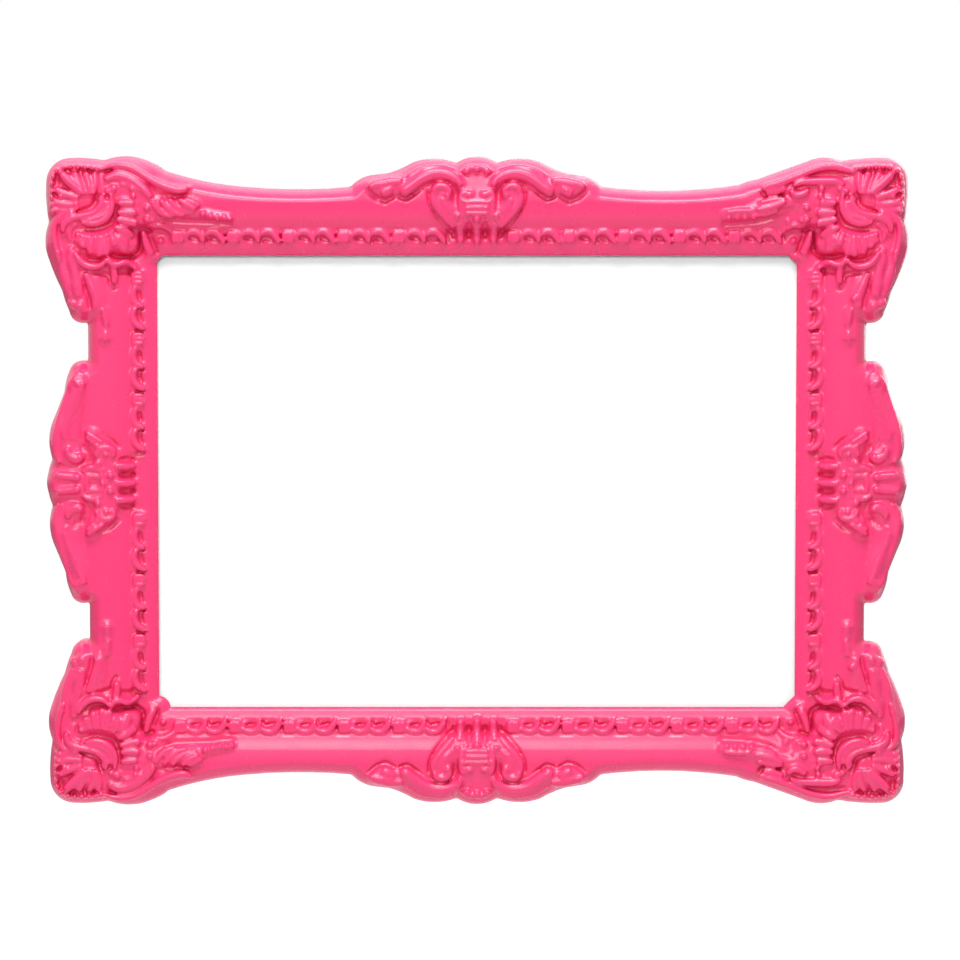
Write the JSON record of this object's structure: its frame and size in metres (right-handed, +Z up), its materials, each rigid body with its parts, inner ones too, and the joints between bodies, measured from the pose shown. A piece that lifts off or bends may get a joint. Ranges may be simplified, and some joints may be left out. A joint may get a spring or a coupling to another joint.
{
  "type": "magnetic photo frame",
  "caption": "Ornate moulded photo frame for a landscape print, with a hollow back that holds magnets, a clear window and a backing board under turn buttons.",
  "frame": {"origin": "on the back plane, behind the middle of the picture opening", "axes": "+X along the picture to the viewer's right, +Z up, +Y out of the back, so the front faces -Y"},
  "size_m": [0.2318, 0.0136, 0.1752],
  "materials": {
    "frame_plastic": "soft-edged glossy moulded plastic",
    "clear_sheet": "clear polished sheet",
    "card": "bare white card",
    "backing_board": "pressed grey board",
    "button_steel": "zinc-plated",
    "screw_steel": "zinc-plated",
    "ferrite": "dark sintered ferrite",
    "adhesive": "cured glue"
  },
  "bodies": {
    "frame": {"frame_moulding": "frame_plastic", "clear_window": "clear_sheet", "photo_card": "card", "backing_panel": "backing_board", "turn_button_screws": "screw_steel", "magnet_adhesive_discs": "adhesive", "magnet_top_left": "ferrite", "magnet_top_middle": "ferrite", "magnet_top_right": "ferrite", "magnet_bottom_left": "ferrite", "magnet_bottom_middle": "ferrite", "magnet_bottom_right": "ferrite"},
    "button_top_left": {"turn_button_top_left": "button_steel"},
    "button_top_right": {"turn_button_top_right": "button_steel"},
    "button_bottom_left": {"turn_button_bottom_left": "button_steel"},
    "button_bottom_right": {"turn_button_bottom_right": "button_steel"},
    "button_left": {"turn_button_left": "button_steel"},
    "button_right": {"turn_button_right": "button_steel"}
  },
  "joints": [
    {"name": "turn_top_left", "type": "hinge", "parent": "frame", "child": "button_top_left", "pos_m": [-0.04472, -0.002, 0.07], "axis": [0, 1, 0], "range_deg": [-90, 90]},
    {"name": "turn_top_right", "type": "hinge", "parent": "frame", "child": "button_top_right", "pos_m": [0.04472, -0.002, 0.07], "axis": [0, 1, 0], "range_deg": [-90, 90]},
    {"name": "turn_bottom_left", "type": "hinge", "parent": "frame", "child": "button_bottom_left", "pos_m": [-0.04472, -0.002, -0.07], "axis": [0, 1, 0], "range_deg": [-90, 90]},
    {"name": "turn_bottom_right", "type": "hinge", "parent": "frame", "child": "button_bottom_right", "pos_m": [0.04472, -0.002, -0.07], "axis": [0, 1, 0], "range_deg": [-90, 90]},
    {"name": "turn_left", "type": "hinge", "parent": "frame", "child": "button_left", "pos_m": [-0.095, -0.002, 0], "axis": [0, 1, 0], "range_deg": [-90, 90]},
    {"name": "turn_right", "type": "hinge", "parent": "frame", "child": "button_right", "pos_m": [0.095, -0.002, 0], "axis": [0, 1, 0], "range_deg": [-90, 90]}
  ]
}
